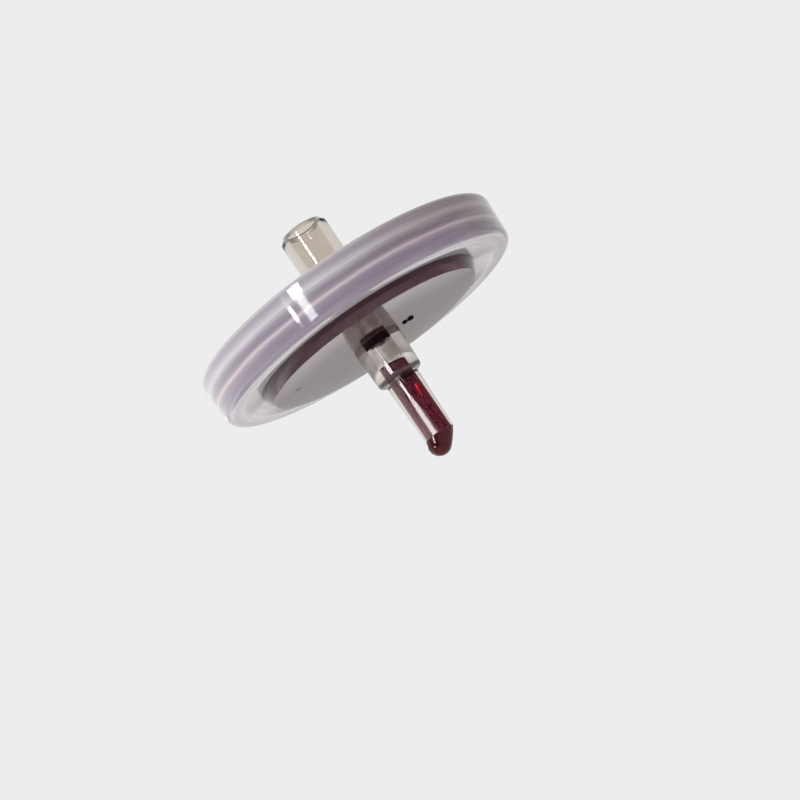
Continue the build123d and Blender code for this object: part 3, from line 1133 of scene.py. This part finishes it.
# Lint is matt and uneven. Its threads are finer than 0.02 mm and are drawn as spots of 0.1 mm.
tint = mottled(tree, 0.1, "5a4f50", "857a79")[1]
shader = add_node(tree, "ShaderNodeBsdfPrincipled", {"Roughness": 0.8}, {"Base Color": tint})
tree.links.new(shader.outputs[0], output.inputs["Surface"])
give(dust, grey_dust)
print("made", grey_dust.name)

# %% [markdown]
# ## The stage
#
# The filter hangs in the air over a pale round floor, in a pale studio. The floor fades out towards
# its rim, so it has no hard horizon, and from below it isn't there at all.

# %% Floor
floor_material, tree, output = new_material("pale_studio_floor")
where = add_node(tree, "ShaderNodeTexCoord")
far = add_node(
    tree, "ShaderNodeVectorMath", {}, {0: where.outputs["Object"]}, operation="LENGTH"
)
fade = add_node(
    tree, "ShaderNodeMapRange", {"From Min": 0.16, "From Max": 0.30},
    {"Value": far.outputs["Value"]}, interpolation_type="SMOOTHSTEP",
)
side = add_node(tree, "ShaderNodeNewGeometry")
gone = add_node(
    tree, "ShaderNodeMath", {}, {0: fade.outputs["Result"], 1: side.outputs["Backfacing"]},
    operation="MAXIMUM",
)
matt = add_node(tree, "ShaderNodeBsdfDiffuse", {"Color": linear("ececed")})
nothing = add_node(tree, "ShaderNodeBsdfTransparent")
both = add_node(tree, "ShaderNodeMixShader", {}, {
    0: gone.outputs[0], 1: matt.outputs[0], 2: nothing.outputs[0],
})
tree.links.new(both.outputs[0], output.inputs["Surface"])

floor_level = -0.120  # metres
bm = bmesh.new()
bmesh.ops.create_circle(bm, cap_ends=True, radius=0.30, segments=128)
for vert in bm.verts:
    vert.co.z = floor_level
floor = finished("floor", bm)
give(floor, floor_material)
floor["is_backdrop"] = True
print("floor at", floor_level, "m")

# %% [markdown]
# ## The studio all round
#
# Clear plastic has no colour of its own: what one sees are the things round it, mirrored or bent.
# So the world is more than one grey. Rays straight from the camera see a plain pale backdrop, and
# rays that light a surface get soft light that is brighter from the left. Mirrored rays see the
# studio itself: dark behind the camera, where flags hold the light off, bright at the window's
# side, and with a bright band low down where a white table stands. Bent rays see an even, pale room
# with a dark edge on either side of that table, which is what outlines the clear tip and collar.

# %% The studio in mirrored rays
world = bpy.data.worlds.new("studio")
bpy.context.scene.world = world
world.use_nodes = True
tree = world.node_tree
tree.nodes.clear()
world_output = add_node(tree, "ShaderNodeOutputWorld")
direction = add_node(tree, "ShaderNodeTexCoord")
towards = add_node(tree, "ShaderNodeSeparateXYZ", {}, {0: direction.outputs["Generated"]})
flagged = add_node(  # dark behind the camera, bright behind the filter
    tree, "ShaderNodeMapRange",
    {"From Min": -1.0, "From Max": 0.6, "To Min": 0.16, "To Max": 0.90},
    {"Value": towards.outputs["Y"]}, interpolation_type="SMOOTHSTEP",
)
window_side = add_node(
    tree, "ShaderNodeMapRange",
    {"From Min": -1.0, "From Max": 1.0, "To Min": 1.25, "To Max": 0.42},
    {"Value": towards.outputs["X"]},
)
sided = add_node(
    tree, "ShaderNodeMath", {}, {0: flagged.outputs["Result"], 1: window_side.outputs["Result"]},
    operation="MULTIPLY",
)
down = add_node(
    tree, "ShaderNodeMapRange", {"From Min": -1.0, "From Max": 0.0},
    {"Value": towards.outputs["Z"]},
)
table = add_node(tree, "ShaderNodeValToRGB", {}, {"Fac": down.outputs["Result"]})
put_stops(table, [
    (-1.0, 0.35), (-0.50, 0.45), (-0.34, 1.75), (-0.255, 1.75), (-0.205, 1.0), (0.0, 1.0),
], -1.0, 0.0)
mirrored = add_node(
    tree, "ShaderNodeMath", {}, {0: sided.outputs[0], 1: table.outputs[0]}, operation="MULTIPLY"
)
print("mirrored studio:", len(tree.nodes), "nodes")

# %% The studio in bent rays
room = add_node(
    tree, "ShaderNodeMapRange",
    {"From Min": -1.0, "From Max": 0.8, "To Min": 0.66, "To Max": 0.76},
    {"Value": towards.outputs["Y"]}, interpolation_type="SMOOTHSTEP",
)
table_edge = -0.21  # the height of the dark edge, as the Z of a ray's direction
from_edge = add_node(
    tree, "ShaderNodeMath", {1: table_edge}, {0: towards.outputs["Z"]}, operation="SUBTRACT"
)
edge_distance = add_node(
    tree, "ShaderNodeMath", {}, {0: from_edge.outputs[0]}, operation="ABSOLUTE"
)
edge = add_node(
    tree, "ShaderNodeMapRange",
    {"From Min": 0.07, "From Max": 0.14, "To Min": 0.60, "To Max": 0.0},
    {"Value": edge_distance.outputs[0]}, interpolation_type="SMOOTHSTEP",
)
sideways = add_node(
    tree, "ShaderNodeMath", {}, {0: towards.outputs["X"]}, operation="ABSOLUTE"
)
beside = add_node(
    tree, "ShaderNodeMapRange", {"From Min": 0.08, "From Max": 0.30},
    {"Value": sideways.outputs[0]}, interpolation_type="SMOOTHSTEP",
)
shadow = add_node(
    tree, "ShaderNodeMath", {}, {0: edge.outputs["Result"], 1: beside.outputs["Result"]},
    operation="MULTIPLY",
)
unshadowed = add_node(
    tree, "ShaderNodeMath", {0: 1.0}, {1: shadow.outputs[0]}, operation="SUBTRACT"
)
bent = add_node(
    tree, "ShaderNodeMath", {}, {0: room.outputs["Result"], 1: unshadowed.outputs[0]},
    operation="MULTIPLY",
)
print("with the bent one:", len(tree.nodes), "nodes")

# %% Which ray sees what
ray = add_node(tree, "ShaderNodeLightPath")
strength = add_node(tree, "ShaderNodeMix", {}, {
    0: ray.outputs["Is Transmission Ray"], 2: mirrored.outputs[0], 3: bent.outputs[0],
})
studio = add_node(
    tree, "ShaderNodeBackground", {"Color": linear("fffdfb")}, {"Strength": strength.outputs[0]}
)
soft_light = add_node(
    tree, "ShaderNodeMapRange",
    {"From Min": -1.0, "From Max": 1.0, "To Min": 1.24, "To Max": 0.50},
    {"Value": towards.outputs["X"]},
)
plain_light = add_node(
    tree, "ShaderNodeBackground", {"Color": linear("ffffff")},
    {"Strength": soft_light.outputs["Result"]},
)
backdrop = add_node(tree, "ShaderNodeBackground", {"Color": linear("ededee"), "Strength": 1.0})
lit = add_node(tree, "ShaderNodeMixShader", {}, {
    0: ray.outputs["Is Diffuse Ray"], 1: studio.outputs[0], 2: plain_light.outputs[0],
})
seen = add_node(tree, "ShaderNodeMixShader", {}, {
    0: ray.outputs["Is Camera Ray"], 1: lit.outputs[0], 2: backdrop.outputs[0],
})
tree.links.new(seen.outputs[0], world_output.inputs["Surface"])
print("the world has", len(tree.nodes), "nodes")

# %% [markdown]
# ## Lights
#
# The lamps stand to the left of the camera. Each one is there for its reflection, so its level says
# which face it shows in. The upper softbox shows in every piece, and flags keep the others to one
# piece each. The ring gets a broken white streak and a thin curved one. The collar gets a short
# hard streak with a dimmer glow round it. The tip gets a softbox with a halo and two wide glows,
# one inside the other, because a streak on moulded plastic has no hard edge. A pale card far to the
# left greys the tip's left side, and the drop has a small glint of its own.
#
# A last lamp behind the filter shines through the liquid in the tip, as a short red line. The plain
# light comes from a broad soft lamp above and from the studio all round.

# %% Softboxes and the soft top light
filter_middle = -0.014  # metres: the level on the axis that every lamp faces


def lamp(name, azimuth, level, distance, width, height, brightness, only=()):
    """An upright lamp that faces the axis. Azimuth counts from the camera's side to its left, and
    sizes are in metres. A brightness of 1 is as bright as a world of strength 1. A lamp with `only`
    lights those pieces and no others, as if flags kept it off the rest."""
    data = bpy.data.lights.new(name, "AREA")
    data.shape, data.size, data.size_y = "RECTANGLE", width, height
    data.energy = brightness * width * height * math.pi
    a = math.radians(azimuth)
    away = Vector((-math.sin(a), -math.cos(a), 0)) * distance
    outwards = away + Vector((0, 0, level - filter_middle))
    lamp_object = bpy.data.objects.new(name, data)
    lamp_object.location = away + Vector((0, 0, level))
    lamp_object.rotation_euler = outwards.to_track_quat("Z", "Y").to_euler()
    lamp_object.visible_camera = lamp_object.visible_diffuse = False
    if only:
        lit_pieces = bpy.data.collections.new("lit_by_" + name)
        for piece in only:
            lit_pieces.objects.link(piece)
        lamp_object.light_linking.receiver_collection = lit_pieces
    bpy.context.scene.collection.objects.link(lamp_object)
    return lamp_object


softboxes = [
    lamp("softbox_upper", 25.1, 0.1665, 0.60, 0.096, 0.205, 22.0),
    lamp("ring_streak", 24.9, 0.0565, 0.60, 0.062, 0.0150, 11.0, [sealing_ring]),
    lamp("narrow_lamp", 34.6, 0.0605, 0.60, 0.028, 0.007, 30.0, [sealing_ring]),
    lamp("collar_streak", 23.2, 0.0588, 0.60, 0.045, 0.0166, 8.0, [outlet_housing]),
    lamp("collar_glow", 22.0, 0.0605, 0.63, 0.520, 0.0100, 3.2, [outlet_housing]),
    lamp("collar_softbox", 26.0, 0.0467, 0.60, 0.180, 0.0076, 20.0, [outlet_housing]),
    lamp("tip_softbox", 26.5, -0.0110, 0.60, 0.300, 0.109, 11.0, [outlet_housing]),
    lamp("tip_halo", 27.5, -0.0110, 0.62, 0.520, 0.109, 4.5, [outlet_housing]),
    lamp("tip_glow", 20.0, -0.0110, 0.64, 0.720, 0.109, 1.1, [outlet_housing]),
    lamp("tip_glow_low", 20.0, -0.0250, 0.65, 0.720, 0.112, 0.9, [outlet_housing]),
    lamp("tip_side_card", 82.0, 0.0480, 0.60, 0.760, 0.056, 1.4, [outlet_housing]),
    lamp("drop_glint", 47.5, -0.1250, 0.60, 0.090, 0.090, 30.0, [outlet_liquid]),
]
for softbox in softboxes:
    softbox.visible_transmission = False
back_lamp = lamp("back_lamp", 162.8, 0.1005, 0.60, 0.030, 0.006, 90.0)
top = lamp("soft_top_light", 20, 0.66, 0.46, 0.60, 0.60, 1.0)
top.visible_diffuse, top.visible_glossy, top.visible_transmission = True, False, False
print("lamps:", ", ".join(made.name for made in (*softboxes, back_lamp, top)))

# %% [markdown]
# ## Hand the pieces over
#
# Each new piece rides on the one body that this part has and says which CAD nodes it stands for,
# and those nodes are hidden.

# %% Ride and replace
for piece, node, finish in (
    (inlet_housing, "inlet_housing", "clear_plastic"),
    (outlet_housing, "outlet_housing", "clear_plastic"),
    (sealing_ring, "sealing_ring", "milky_plastic"),
    (outlet_liquid, "outlet_liquid", "dark_red_liquid"),
    (column_end, None, "dark_red_liquid"),
    (splashes, None, "dark_red_liquid"),
    (dust, None, "milky_plastic"),
):
    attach(piece, "root")
    if node:
        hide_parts(node)
    print(piece.name, "stands for", node or "nothing in the CAD")

# %% Measure and finish
bpy.context.scene.view_settings.view_transform = "Standard"
bpy.context.view_layer.update()
visual_box = [[float(x) for x in corner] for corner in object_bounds()]
for side, (cad, made) in enumerate(zip(zip(*cad_box), zip(*visual_box))):
    print("XYZ"[side], "CAD", [round(v / MM, 2) for v in cad],
          "made", [round(v / MM, 2) for v in made])
